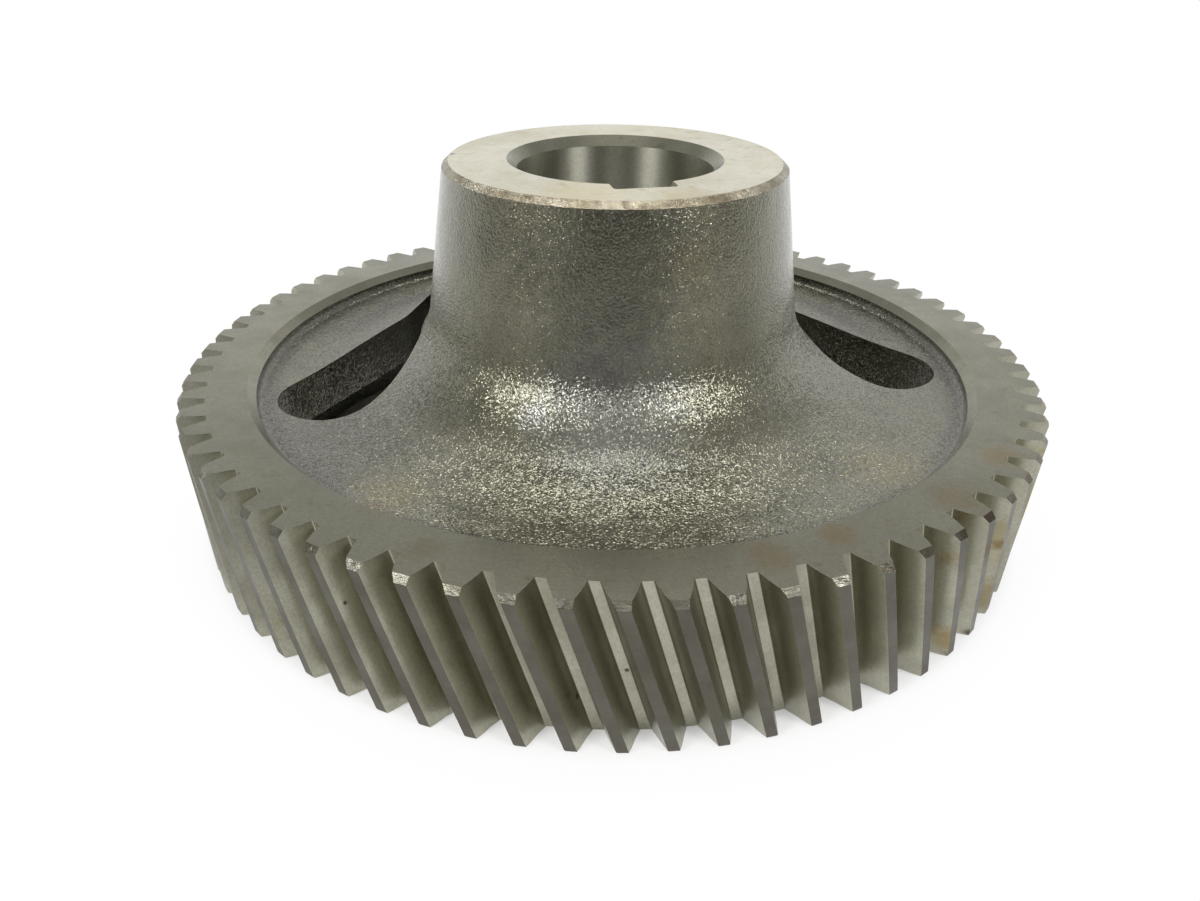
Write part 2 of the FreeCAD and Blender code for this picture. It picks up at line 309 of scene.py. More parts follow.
def make_gear():
    """Joins the ring of teeth to the core, and twists both about the axis into the left-hand helix."""
    mesh = bmesh.new()
    draw_tooth(mesh)
    bmesh.ops.spin(
        mesh,
        geom=mesh.verts[:] + mesh.edges[:] + mesh.faces[:],
        cent=(0, 0, 0),
        axis=UP,
        dvec=(0, 0, 0),
        angle=PITCH_TURN * (TOOTH_COUNT - 1),
        steps=TOOTH_COUNT - 1,
        use_duplicate=True,
    )
    core = bmesh.new()
    spin_core(core)
    core_data = bpy.data.meshes.new("core")
    core.to_mesh(core_data)
    core.free()
    mesh.from_mesh(core_data)
    bpy.data.meshes.remove(core_data)
    bmesh.ops.remove_doubles(mesh, verts=mesh.verts[:], dist=SEAM * MM)
    bmesh.ops.recalc_face_normals(mesh, faces=mesh.faces[:])
    for spot in mesh.verts:
        turn = math.radians(UPPER_GAP_ANGLE) + (FACE_WIDTH - spot.co.z / MM) * TWIST_PER_MM
        spot.co.rotate(Matrix.Rotation(turn, 3, "Z"))
    return make_object("camshaft_gear_casting", mesh)


# Windows and keyway, cut straight down through the twisted gear
def draw_prism(mesh, corners, low, high, turn):
    """Draws an outline with rounded corners and makes it a prism between two heights."""
    spots = [mesh.verts.new(Vector((across, up, low)) * MM) for across, up, _ in corners]
    for start, end in zip(spots, spots[1:] + spots[:1]):
        mesh.edges.new((start, end))
    for spot, (_, _, rounding) in zip(spots, corners):
        if rounding:
            round_corner(mesh, spot, *rounding)
    bmesh.ops.remove_doubles(mesh, verts=mesh.verts[:], dist=NEAR * MM)
    floor = bmesh.ops.contextual_create(mesh, geom=mesh.edges[:])["faces"]
    lifted = bmesh.ops.extrude_face_region(mesh, geom=floor)["geom"]
    top = [item for item in lifted if isinstance(item, bmesh.types.BMVert)]
    bmesh.ops.translate(mesh, verts=top, vec=UP * (high - low) * MM)
    bmesh.ops.rotate(mesh, verts=mesh.verts[:], cent=(0, 0, 0), matrix=Matrix.Rotation(turn, 3, "Z"))
    bmesh.ops.recalc_face_normals(mesh, faces=mesh.faces[:])


def on_arm(arm, out, forward, rounding=None):
    """A corner at a distance out from the axis, square to an arm, and a distance forward along it."""
    across = out * math.cos(arm) + forward * math.sin(arm)
    return (across, out * math.sin(arm) - forward * math.cos(arm), rounding)


def make_window_cutter(mirrored):
    """A bent slot with round ends, which keeps clear of the hub's round core."""
    front = math.radians(90 - WINDOW_SPREAD)
    bend = math.radians(WINDOW_BEND)
    back = front - bend
    half = WINDOW_HALF_WIDTH
    back_offset = WINDOW_OFFSET * math.cos(bend) - WINDOW_BEND_REACH * math.sin(bend)
    bend_reach = WINDOW_OFFSET * math.sin(bend) + WINDOW_BEND_REACH * math.cos(bend)
    back_end = bend_reach + WINDOW_BACK_REACH + half
    across, up, _ = on_arm(front, WINDOW_OFFSET, -WINDOW_BEND_REACH)
    reach = half / math.cos(bend / 2)
    middle = front - bend / 2
    aside = reach * math.cos(middle)
    along = reach * math.sin(middle)
    round_end = (half, math.pi / 2, 12)
    corners = [
        on_arm(front, WINDOW_OFFSET - half, WINDOW_FRONT_REACH + half, round_end),
        on_arm(front, WINDOW_OFFSET + half, WINDOW_FRONT_REACH + half, round_end),
        (across + aside, up + along, (WINDOW_BEND_FILLET, bend, 6)),
        on_arm(back, back_offset + half, -back_end, round_end),
        on_arm(back, back_offset - half, -back_end, round_end),
        (across - aside, up - along, None),
    ]
    if mirrored:
        corners = [(-across, up, rounding) for across, up, rounding in corners]
    mesh = bmesh.new()
    draw_prism(mesh, corners, -CUT_OVERRUN, WINDOW_CUT_TOP, math.radians(WINDOW_MID_ANGLE - 90))
    window = make_object("window_cutter", mesh)

    core_radius = (HUB_RADIUS + CORE_MARGIN) * MM
    mesh = bmesh.new()
    bmesh.ops.create_cone(
        mesh,
        cap_ends=True,
        segments=CORE_CUT_SEGMENTS,
        radius1=core_radius,
        radius2=core_radius,
        depth=CORE_CUT_LENGTH * MM,
        matrix=Matrix.Translation((0, 0, CORE_CUT_MIDDLE * MM)),
    )
    cut_away(window, make_object("core_cutter", mesh))
    return window


def make_keyway_cutter():
    """A square key's seat, from the bore's middle to the keyway's floor."""
    half = KEYWAY_WIDTH / 2
    rounding = (KEYWAY_FILLET, math.pi / 2, 3)
    corners = [
        (0, -half, None),
        (KEYWAY_REACH, -half, rounding),
        (KEYWAY_REACH, half, rounding),
        (0, half, None),
    ]
    mesh = bmesh.new()
    draw_prism(mesh, corners, -CUT_OVERRUN, HUB_HEIGHT + CUT_OVERRUN, math.radians(KEYWAY_ANGLE))
    return make_object("keyway_cutter", mesh)


def make_nick_cutter():
    """The knock in the hub's upper edge, on the left."""
    mesh = bmesh.new()
    spot = Matrix.Translation(Vector(NICK_PLACE) * MM)
    bmesh.ops.create_icosphere(mesh, subdivisions=2, radius=NICK_RADIUS * MM, matrix=spot)
    return make_object("nick_cutter", mesh)


gear = make_gear()
for cutter in (make_window_cutter(False), make_window_cutter(True), make_keyway_cutter(), make_nick_cutter()):
    cut_away(gear, cutter)


# Finishes
def linear(code):
    """A linear colour from an sRGB hex value."""
    parts = [int(code[start:start + 2], 16) / 255 for start in (1, 3, 5)]
    return (*[part / 12.92 if part <= 0.04045 else ((part + 0.055) / 1.055) ** 2.4 for part in parts], 1)


def add(tree, kind, inputs=None, stops=None, **settings):
    """Adds a node with its settings. Each input is a value or another node's output."""
    node = tree.nodes.new(kind)
    for name, setting in settings.items():
        setattr(node, name, setting)
    for socket, source in (inputs or {}).items():
        if isinstance(source, bpy.types.NodeSocket):
            tree.links.new(source, node.inputs[socket])
        else:
            node.inputs[socket].default_value = source
    if stops:
        while len(node.color_ramp.elements) < len(stops):
            node.color_ramp.elements.new(0.5)
        for element, (place, colour) in zip(node.color_ramp.elements, stops):
            element.position = place
            element.color = colour
    return node


def new_finish(name):
    """A new material without any node, and its node tree."""
    finish = bpy.data.materials.new(name)
    finish.use_nodes = True
    finish.node_tree.nodes.clear()
    return finish, finish.node_tree


def round_axis(tree, place, outward, around, upward):
    """Coordinates that follow the gear round: its radius, its girth along the teeth and its height.

    Each is counted in steps of a size in millimetres.
    """
    axes = add(tree, "ShaderNodeSeparateXYZ", {0: place})
    flat = add(tree, "ShaderNodeVectorMath", {0: place, 1: (1, 1, 0)}, operation="MULTIPLY")
    radius = add(tree, "ShaderNodeVectorMath", {0: flat.outputs["Vector"]}, operation="LENGTH")
    turn = add(tree, "ShaderNodeMath", {0: axes.outputs["Y"], 1: axes.outputs["X"]}, operation="ARCTAN2")
    girth = add(
        tree, "ShaderNodeMath",
        {0: axes.outputs["Z"], 1: TWIST_PER_MM / MM, 2: turn.outputs["Value"]},
        operation="MULTIPLY_ADD",
    )
    joined = add(
        tree, "ShaderNodeCombineXYZ",
        {"X": radius.outputs["Value"], "Y": girth.outputs["Value"], "Z": axes.outputs["Z"]},
    )
    steps = (1 / (outward * MM), PITCH_RADIUS / around, 1 / (upward * MM))
    counted = add(
        tree, "ShaderNodeVectorMath", {0: joined.outputs["Vector"], 1: steps}, operation="MULTIPLY",
    )
    return counted.outputs["Vector"]


def mix(tree, share, below, above):
    """One colour over another. Each is a colour or another node's output."""
    return add(tree, "ShaderNodeMix", {0: share, 6: below, 7: above}, data_type="RGBA").outputs[2]


def marked(tree, place, colour, marks):
    """Lays single marks over a colour.

    Each has its middle and radius in millimetres, a colour and a strength.
    """
    # Ragged edges with bays of 2.2 mm. A mark fades out at about its radius.
    ragged = add(
        tree, "ShaderNodeTexNoise",
        {"Vector": place, "Scale": 1 / (2.2 * MM), "Detail": 4.0, "Roughness": 0.65},
    )
    for middle, radius, code, strength in marks:
        middle = tuple(part * MM for part in middle)
        away = add(tree, "ShaderNodeVectorMath", {0: place, 1: middle}, operation="DISTANCE")
        edge = add(
            tree, "ShaderNodeMath",
            {0: ragged.outputs["Fac"], 1: 1.4 * radius * MM, 2: away.outputs["Value"]},
            operation="MULTIPLY_ADD",
        )
        share = add(
            tree, "ShaderNodeMapRange",
            {
                "Value": edge.outputs["Value"], "From Min": radius * MM, "From Max": 1.8 * radius * MM,
                "To Min": strength, "To Max": 0.0,
            },
            interpolation_type="SMOOTHSTEP",
        )
        colour = mix(tree, share.outputs["Result"], colour, linear(code))
    return colour


# Single marks, each with its middle and radius in millimetres, its colour and its strength.
# On the cast skin they are two brown stains on the hub's front, the flare's greyer front, painted
# so that its highlights come out neutral, painted shade on the front of the hub and the left of
# the web, a pale bluish streak on the flare that is a painted highlight, and two patches of rust
# dust on the web. The broad ones stand for light and shade that the lamps here don't give.
CAST_STAINS_AND_PAINTED_LIGHT = (
    ((13, -34, 62), 5, "#7d6a4c", 0.3),
    ((17, -36, 56), 3.5, "#7a6545", 0.25),
    # Next four: the flare's tint for neutral highlights, painted shade on hub and web, a painted highlight
    ((0, -43, 38), 20, "#7b7c7d", 0.4),
    ((-2, -36, 62), 22, "#434138", 0.55),
    ((-58, -42, 28), 30, "#4b493f", 0.6),
    ((-15, -41.5, 35), 4, "#a0a2a6", 0.18),
    ((-40, -58, 28), 9, "#8e8058", 0.35),
    ((52, -46, 28), 10, "#8e8058", 0.35),
)
# Brown stains along the front of the rim
RIM_MARKS = (
    ((24, -80, 31.75), 5, "#7d6a48", 0.4),
    ((36, -74, 31.75), 4, "#836c46", 0.4),
    ((59, -62, 31.75), 6, "#7d6a48", 0.4),
    ((72, -48, 31.75), 5, "#8a7038", 0.4),
    ((-30, -79, 31.75), 4, "#756a4e", 0.35),
)
# Straw stains on the hub's face, and the bruise round the nick
HUB_MARKS = (
    ((-6, -30, 72.3), 10, "#c9bd90", 0.5),
    ((12, -30, 72.3), 7, "#bfae7c", 0.5),
    ((-33.5, 1, 72), 1.5, "#6e675a", 0.9),
)
# Three pits at the front and left, then straw stains, rust and dark lower corners, nearly all on the right
FLANK_MARKS = (
    ((-43.4, -80.4, 21.8), 0.5, "#3c362c", 0.9),
    ((2.2, -86.9, 13.8), 0.45, "#3c362c", 0.9),
    ((-5.8, -87.4, 8.4), 0.7, "#5e2f22", 0.9),
    ((57, -70, 27), 4, "#84692f", 0.6),
    ((62, -68, 6), 5, "#8c7232", 0.6),
    ((73, -57, 6), 7, "#83703a", 0.5),
    ((70, -60, 22), 7, "#87783f", 0.45),
    ((82, -42, 22), 9, "#94843f", 0.55),
    ((57.1, -72.9, 1.6), 1.3, "#4a3522", 0.85),
    ((63.4, -67.5, 1.7), 1.5, "#4a3522", 0.85),
    ((69, -62, 1.5), 1.8, "#3f3020", 0.85),
    ((52.8, -75, 1.2), 1.1, "#55432c", 0.8),
    ((58.3, -71.9, 25.6), 1.6, "#6b5024", 0.7),
    ((62.6, -68.4, 14), 1.8, "#6e5228", 0.65),
    ((69.8, -60.8, 20), 2.2, "#6b4f22", 0.7),
    ((74.5, -55.5, 12), 2.2, "#735726", 0.65),
    ((-62, -66, 6), 5, "#7d7044", 0.4),
)
# Rust on the right tips, darkest at their lower ends
TIP_MARKS = (
    ((57.1, -72.9, 1), 2.6, "#3a2e22", 0.85),
    ((64, -67, 1), 3, "#4a3520", 0.85),
    ((71, -60, 1), 3.4, "#3f3020", 0.85),
    ((52.8, -76, 1), 2.4, "#453626", 0.8),
    ((64, -66.5, 24), 3, "#5e4522", 0.6),
    ((71, -59, 15), 4, "#6a4e26", 0.6),
)
# Chamfers darkened by rust on the right, and by grey painted shade on the three at the front
CHAMFER_RUST_AND_SHADE = (
    ((62, -68, 31), 11, "#3d2c20", 0.85),
    ((76, -50, 31), 9, "#57432a", 0.7),
    ((87, -30, 31), 9, "#8a7434", 0.6),
    # The three at the front are painted shade
    ((2, -92, 31), 9, "#5d5a4e", 0.6),
    ((27, -88, 31), 13, "#4b4a42", 0.6),
    ((46, -80, 31), 9, "#463c2e", 0.6),
)

# Painted shade on the cast skin, in millimetres: from and to which radius the corner under the rim
# darkens, where painted shade and dirt lie together, the groove's radius and half width, and how far
# back the groove's painted shade begins and is full.
CORNER_SHADE_AND_DIRT = (72, 76)
GROOVE_RADIUS = 66.5
GROOVE_HALF_WIDTH = 4.5
GROOVE_BEHIND = (5, 35)

# The cold laps' middle, and the distances from it over which they fade out
LAPS_MIDDLE = (0, -41, 38)
LAPS_FADE = (14, 22)

# The heights between which the flare's coarse skin turns into the hub's finer one
FLARE_TOP = (40, 47)


def cast_skin():
    """Cast steel as it left the mould, blasted and oiled: dark grey, finely pebbled, with many small glints.

    The mould's sand is too fine to show in the render, so its grains are drawn as coarse as they
    need to show.
    """
    finish, tree = new_finish("oiled_cast_skin")
    place = add(tree, "ShaderNodeTexCoord").outputs["Object"]
    # Patches of thicker and thinner oil, 14 mm across
    mottle = add(
        tree, "ShaderNodeTexNoise",
        {"Vector": place, "Scale": 1 / (14 * MM), "Detail": 5.0, "Roughness": 0.65},
    )
    # Sand grain of 0.45 mm, with finer grit between, over a slow swell of 5 mm
    grain = add(
        tree, "ShaderNodeTexVoronoi", {"Vector": place, "Scale": 1 / (0.45 * MM)}, feature="SMOOTH_F1",
    )
    grit = add(
        tree, "ShaderNodeTexNoise",
        {"Vector": place, "Scale": 1 / (0.3 * MM), "Detail": 1.0, "Roughness": 0.6},
    )
    swell = add(tree, "ShaderNodeTexNoise", {"Vector": place, "Scale": 1 / (5 * MM), "Detail": 2.0})
    # Single grains' faces of 0.35 mm, each turned its own way
    faces = add(tree, "ShaderNodeTexVoronoi", {"Vector": place, "Scale": 1 / (0.35 * MM)})
    tint = add(
        tree, "ShaderNodeValToRGB", {"Fac": mottle.outputs["Fac"]},
        stops=[(0.3, linear("#6b6957")), (0.5, linear("#777561")), (0.7, linear("#83816e"))],
    )
    # Oil and rust dust lie a little darker in the hollows of the grain
    hollow = add(
        tree, "ShaderNodeMapRange",
        {"Value": grit.outputs["Fac"], "From Min": 0.3, "From Max": 0.55, "To Min": 0.6, "To Max": 0.0},
    )
    colour = mix(tree, hollow.outputs["Result"], tint.outputs["Color"], linear("#454335"))
    # Painted shade, with some dirt, darkens the corner under the rim, and painted shade alone darkens
    # the web's shallow groove behind the hub
    axes = add(tree, "ShaderNodeSeparateXYZ", {0: place})
    flat = add(tree, "ShaderNodeVectorMath", {0: place, 1: (1, 1, 0)}, operation="MULTIPLY")
    out = add(tree, "ShaderNodeVectorMath", {0: flat.outputs["Vector"]}, operation="LENGTH")
    corner_from, corner_to = CORNER_SHADE_AND_DIRT
    corner = add(
        tree, "ShaderNodeMapRange",
        {
            "Value": out.outputs["Value"], "From Min": corner_from * MM, "From Max": corner_to * MM,
            "To Min": 0.0, "To Max": 0.6,
        },
        interpolation_type="SMOOTHSTEP",
    )
    beside = add(
        tree, "ShaderNodeMath", {0: out.outputs["Value"], 1: GROOVE_RADIUS * MM}, operation="SUBTRACT",
    )
    beside = add(tree, "ShaderNodeMath", {0: beside.outputs["Value"]}, operation="ABSOLUTE")
    groove = add(
        tree, "ShaderNodeMapRange",
        {
            "Value": beside.outputs["Value"], "From Min": 0.0, "From Max": GROOVE_HALF_WIDTH * MM,
            "To Min": 0.6, "To Max": 0.0,
        },
        interpolation_type="SMOOTHSTEP",
    )
    behind_from, behind_to = GROOVE_BEHIND
    behind_hub = add(
        tree, "ShaderNodeMapRange",
        {"Value": axes.outputs["Y"], "From Min": behind_from * MM, "From Max": behind_to * MM},
        interpolation_type="SMOOTHSTEP",
    )
    groove = add(
        tree, "ShaderNodeMath",
        {0: groove.outputs["Result"], 1: behind_hub.outputs["Result"]}, operation="MULTIPLY",
    )
    painted_shade_and_dirt = add(
        tree, "ShaderNodeMath",
        {0: groove.outputs["Value"], 1: corner.outputs["Result"]}, operation="MAXIMUM",
    )
    colour = mix(tree, painted_shade_and_dirt.outputs["Value"], colour, linear("#3a392f"))
    # Shallow cold laps in the flare's front, where the steel met in the mould
    warped = add(
        tree, "ShaderNodeVectorMath", {0: mottle.outputs["Color"], 1: (6 * MM, 6 * MM, 6 * MM), 2: place},
        operation="MULTIPLY_ADD",
    )
    laps = add(
        tree, "ShaderNodeTexVoronoi", {"Vector": warped.outputs["Vector"], "Scale": 1 / (11 * MM)},
        feature="DISTANCE_TO_EDGE",
    )
    lap = add(
        tree, "ShaderNodeMapRange",
        {"Value": laps.outputs["Distance"], "From Min": 0.0, "From Max": 0.03, "To Min": 1.0, "To Max": 0.0},
    )
    laps_middle = tuple(part * MM for part in LAPS_MIDDLE)
    reach = add(tree, "ShaderNodeVectorMath", {0: place, 1: laps_middle}, operation="DISTANCE")
    fade_from, fade_to = LAPS_FADE
    here = add(
        tree, "ShaderNodeMapRange",
        {
            "Value": reach.outputs["Value"], "From Min": fade_from * MM, "From Max": fade_to * MM,
            "To Min": 0.28, "To Max": 0.0,
        },
    )
    lap = add(
        tree, "ShaderNodeMath",
        {0: lap.outputs["Result"], 1: here.outputs["Result"]}, operation="MULTIPLY",
    )
    colour = mix(tree, lap.outputs["Value"], colour, linear("#3f3e37"))
    colour = marked(tree, place, colour, CAST_STAINS_AND_PAINTED_LIGHT)
    rough = add(
        tree, "ShaderNodeMapRange",
        {"Value": mottle.outputs["Fac"], "From Min": 0.3, "From Max": 0.7, "To Min": 0.28, "To Max": 0.37},
    )
    coarse = add(
        tree, "ShaderNodeBump",
        {"Height": swell.outputs["Fac"], "Strength": 1.0, "Distance": 0.2 * MM},
    )
    pebbled = add(
        tree, "ShaderNodeBump",
        {
            "Height": grain.outputs["Distance"], "Strength": 1.0, "Distance": 0.08 * MM,
            "Normal": coarse.outputs["Normal"],
        },
    )
    gritty = add(
        tree, "ShaderNodeBump",
        {
            "Height": grit.outputs["Fac"], "Strength": 1.0, "Distance": 0.07 * MM,
            "Normal": pebbled.outputs["Normal"],
        },
    )
    # The web and the flare are coarser than the hub's side above them
    flare_from, flare_to = FLARE_TOP
    steep = add(
        tree, "ShaderNodeMapRange",
        {
            "Value": axes.outputs["Z"], "From Min": flare_from * MM, "From Max": flare_to * MM,
            "To Min": 0.32, "To Max": 0.08,
        },
    )
    loose = add(
        tree, "ShaderNodeVectorMath",
        {0: faces.outputs["Color"], 1: (0.5, 0.5, 0.5)}, operation="SUBTRACT",
    )
    turned = add(
        tree, "ShaderNodeVectorMath", {0: loose.outputs["Vector"], "Scale": steep.outputs["Result"]},
        operation="SCALE",
    )
    tilted = add(
        tree, "ShaderNodeVectorMath",
        {0: gritty.outputs["Normal"], 1: turned.outputs["Vector"]}, operation="ADD",
    )
    facet = add(tree, "ShaderNodeVectorMath", {0: tilted.outputs["Vector"]}, operation="NORMALIZE")
    shader = add(
        tree, "ShaderNodeBsdfPrincipled",
        {
            "Base Color": colour, "Metallic": 1.0, "Roughness": rough.outputs["Result"],
            "Normal": facet.outputs["Vector"], "Coat Weight": 0.9, "Coat Roughness": 0.08,
            "Coat Normal": facet.outputs["Vector"],
        },
    )
    add(tree, "ShaderNodeOutputMaterial", {"Surface": shader.outputs["BSDF"]})
    return finish


def machined(
    name, light, dark, stain, smooth, coarse, lines, depth, stained=0.62, spread=None, drawn=0.0, marks=(),
):
    """Machined steel: tool marks that run round the axis, cloudy handling marks and a few stains.

    smooth and coarse are the least and the greatest roughness. lines is the pitch of the tool marks outward,
    around and upward, and depth is their depth, all in millimetres. Real tool marks are finer, and these are
    drawn as coarse as they need to show. A stain shows where its noise rises above stained.
    spread is the way that the marks draw the light out, outward or upward, and drawn is how far.
    """
    finish, tree = new_finish(name)
    place = add(tree, "ShaderNodeTexCoord").outputs["Object"]
    # Clouds of 9 mm, stains of 4 mm and specks of 0.5 mm
    cloud = add(
        tree, "ShaderNodeTexNoise",
        {"Vector": place, "Scale": 1 / (9 * MM), "Detail": 6.0, "Roughness": 0.62},
    )
    spots = add(
        tree, "ShaderNodeTexNoise",
        {"Vector": place, "Scale": 1 / (4 * MM), "Detail": 6.0, "Roughness": 0.7},
    )
    fine = add(
        tree, "ShaderNodeTexNoise",
        {"Vector": place, "Scale": 1 / (0.5 * MM), "Detail": 2.0, "Roughness": 0.7},
    )
    followed = round_axis(tree, place, *lines)
    trace = add(
        tree, "ShaderNodeTexNoise", {"Vector": followed, "Scale": 1.0, "Detail": 3.0, "Roughness": 0.6},
    )
    tint = add(
        tree, "ShaderNodeValToRGB", {"Fac": cloud.outputs["Fac"]},
        stops=[(0.35, linear(dark)), (0.62, linear(light))],
    )
    streak = add(
        tree, "ShaderNodeMapRange",
        {"Value": trace.outputs["Fac"], "From Min": 0.3, "From Max": 0.7, "To Min": 0.0, "To Max": 0.35},
    )
    colour = mix(tree, streak.outputs["Result"], tint.outputs["Color"], linear(dark))
    speck = add(
        tree, "ShaderNodeMapRange",
        {"Value": fine.outputs["Fac"], "From Min": 0.35, "From Max": 0.6, "To Min": 0.3, "To Max": 0.0},
    )
    colour = mix(tree, speck.outputs["Result"], colour, linear(stain))
    share = add(
        tree, "ShaderNodeMapRange",
        {"Value": spots.outputs["Fac"], "From Min": stained, "From Max": stained + 0.14, "To Max": 0.7},
    )
    colour = mix(tree, share.outputs["Result"], colour, linear(stain))
    colour = marked(tree, place, colour, marks)
    rough = add(
        tree, "ShaderNodeMapRange",
        {"Value": cloud.outputs["Fac"], "From Min": 0.3, "From Max": 0.7, "To Min": coarse, "To Max": smooth},
    )
    bump = add(
        tree, "ShaderNodeBump",
        {"Height": trace.outputs["Fac"], "Strength": 1.0, "Distance": depth * MM},
    )
    shader = add(
        tree, "ShaderNodeBsdfPrincipled",
        {
            "Base Color": colour, "Metallic": 1.0, "Anisotropic": drawn,
            "Roughness": rough.outputs["Result"], "Normal": bump.outputs["Normal"],
        },
    )
    if spread == "outward":
        way = add(tree, "ShaderNodeVectorMath", {0: place, 1: (1, 1, 0)}, operation="MULTIPLY")
        tree.links.new(way.outputs["Vector"], shader.inputs["Tangent"])
    elif spread == "upward":
        way = add(tree, "ShaderNodeCombineXYZ", {"Z": 1.0})
        tree.links.new(way.outputs["Vector"], shader.inputs["Tangent"])
    add(tree, "ShaderNodeOutputMaterial", {"Surface": shader.outputs["BSDF"]})
    return finish


FINISHES = [
    cast_skin(),
    # Steel turned in a lathe: grey, with faint rings round the axis and brown stains
    machined(
        "turned_rim_face", light="#949384", dark="#858475", stain="#6a654e", smooth=0.24, coarse=0.31,
        lines=(0.35, 30, 30), depth=0.006, stained=0.6, spread="outward", drawn=0.15, marks=RIM_MARKS,
    ),
    # Steel faced in a lathe and worn bright: pale, and its rings draw the light outward into soft wedges
    machined(
        "faced_hub_end", light="#dcd9c9", dark="#ccc8b0", stain="#a89968", smooth=0.26, coarse=0.34,
        lines=(0.4, 25, 25), depth=0.01, stained=0.56, spread="outward", drawn=0.5, marks=HUB_MARKS,
    ),
    # A turned edge that was knocked and rusted: small bright burrs between brown spots
    machined(
        "hub_edge_with_rust", light="#cbc5b0", dark="#8a8168", stain="#5c442b", smooth=0.14, coarse=0.28,
        lines=(0.5, 1.2, 0.5), depth=0.34, stained=0.5,
    ),
    # A ground bore: marks round the axis, so fine that they draw each reflection out into an upright band
    machined(
        "ground_bore", light="#bebdaf", dark="#acab9c", stain="#7c7967", smooth=0.36, coarse=0.42,
        lines=(30, 12, 0.3), depth=0.004, stained=0.64, spread="upward", drawn=0.86,
    ),
    # Steel cut by a hob: smooth and silky, with faint lines along the tooth
    machined(
        "hobbed_flank", light="#b0afa0", dark="#9d9c8c", stain="#7e7860", smooth=0.28, coarse=0.38,
        lines=(0.5, 0.5, 14), depth=0.012, marks=FLANK_MARKS,
    ),
    # What the hob left of the blank's turned outside: dark with old oil, and dull
    machined(
        "turned_tooth_tip", light="#686760", dark="#595850", stain="#6b604c", smooth=0.34, coarse=0.46,
        lines=(14, 6, 0.5), depth=0.012, marks=TIP_MARKS,
    ),
    # Turned chamfers with burrs from the hob and from knocks: uneven, with glints and rust
    machined(
        "burred_tip_chamfer", light="#8e8d83", dark="#66645a", stain="#534d3e", smooth=0.26, coarse=0.42,
        lines=(0.6, 1.6, 0.6), depth=0.14, stained=0.47, marks=CHAMFER_RUST_AND_SHADE,
    ),
]
CAST, RIM_FACE, HUB_FACE, HUB_EDGE, BORE, FLANK, TIP, TIP_CHAMFER = range(len(FINISHES))

# How much of a face's normal points up or down when it lies level, at a slant, or hardly tilted,
# and how much of it points outward on a tooth's tip
LEVEL = 0.9
SLANTED = 0.5
TILTED = 0.3
OUTWARD = 0.6

# How far each finish reaches past the size that bounds it, in millimetres
RING_MARGIN = 0.2
TIP_DEPTH = 1.5
RIM_MARGIN = 0.1
KEYWAY_MARGIN = 0.5
END_MARGIN = 0.05


def finish_of(face):
    """Which finish a face of the gear has, from where it lies and which way it looks."""
    centre = face.calc_center_median() / MM
    radius = centre.xy.length
    outward = face.normal.xy.dot(centre.xy) / radius if radius else 0
    rise = face.normal.z
    if radius > ROOT_RADIUS - RING_MARGIN:
        if TILTED < rise < LEVEL and centre.z > FACE_WIDTH - UPPER_TIP_CHAMFER:
            return TIP_CHAMFER
        if abs(rise) > LEVEL:
            return RIM_FACE
        if radius > TIP_RADIUS - TIP_DEPTH and outward > OUTWARD:
            return TIP
        return FLANK
    if abs(rise) > LEVEL and radius > RIM_INNER_RADIUS - RIM_MARGIN:
        return RIM_FACE
    if radius > RIM_INNER_RADIUS - RIM_CHAMFER + NEAR and abs(rise) > SLANTED:
        return RIM_FACE
    if centre.z > HUB_HEIGHT - END_MARGIN:
        return HUB_FACE
    if centre.z > HUB_HEIGHT - HUB_CHAMFER_HEIGHT and radius > HUB_RADIUS - HUB_CHAMFER_WIDTH:
        return HUB_EDGE
    if radius < BORE_RADIUS + UPPER_BORE_CHAMFER and SLANTED < rise < LEVEL:
        return RIM_FACE
    if radius < KEYWAY_REACH + KEYWAY_MARGIN and centre.z > END_MARGIN:
        return BORE
    if centre.z < END_MARGIN:
        return RIM_FACE
    return CAST


for finish in FINISHES:
    gear.data.materials.append(finish)
mesh = bmesh.new()
mesh.from_mesh(gear.data)
bmesh.ops.recalc_face_normals(mesh, faces=mesh.faces[:])
for face in mesh.faces:
    face.material_index = finish_of(face)
    face.smooth = True
mesh.to_mesh(gear.data)
mesh.free()

# Every machined or cast edge is a little rounded, as the hand feels it
soft_edges = gear.modifiers.new("soft_edges", "BEVEL")
soft_edges.width = SOFT_EDGE * MM
soft_edges.segments = 2
soft_edges.limit_method = "ANGLE"
soft_edges.angle_limit = math.radians(SOFT_EDGE_ANGLE)
soft_edges.harden_normals = True
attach(gear, "root")
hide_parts("camshaft_gear")

# The paper: its half width, and the places in depth between which the steel's view of it turns
# from dark to white, all in metres
PAPER_SIZE = 3
PAPER_DARK = -0.32
PAPER_WHITE = -0.1

# How white the paper is seen, against the distance from the axis as a share of its reach in
# millimetres. It keeps the gear's shadow up to 84 mm, and runs into pure white at 150 mm.
PAPER_REACH = 300
PAPER_STOPS = ((0.28, 0), (0.315, 0.93), (0.5, 1))

# How white the wall behind is seen, against how far up one looks
WALL_STOPS = ((0.2, 1.0), (0.32, 0.98), (0.45, 0.8), (0.6, 0.42), (0.72, 0.62), (0.92, 0.6))


def grey_stops(stops):
    """A ramp's stops from places and levels of grey."""
    return [(place, (level, level, level, 1)) for place, level in stops]


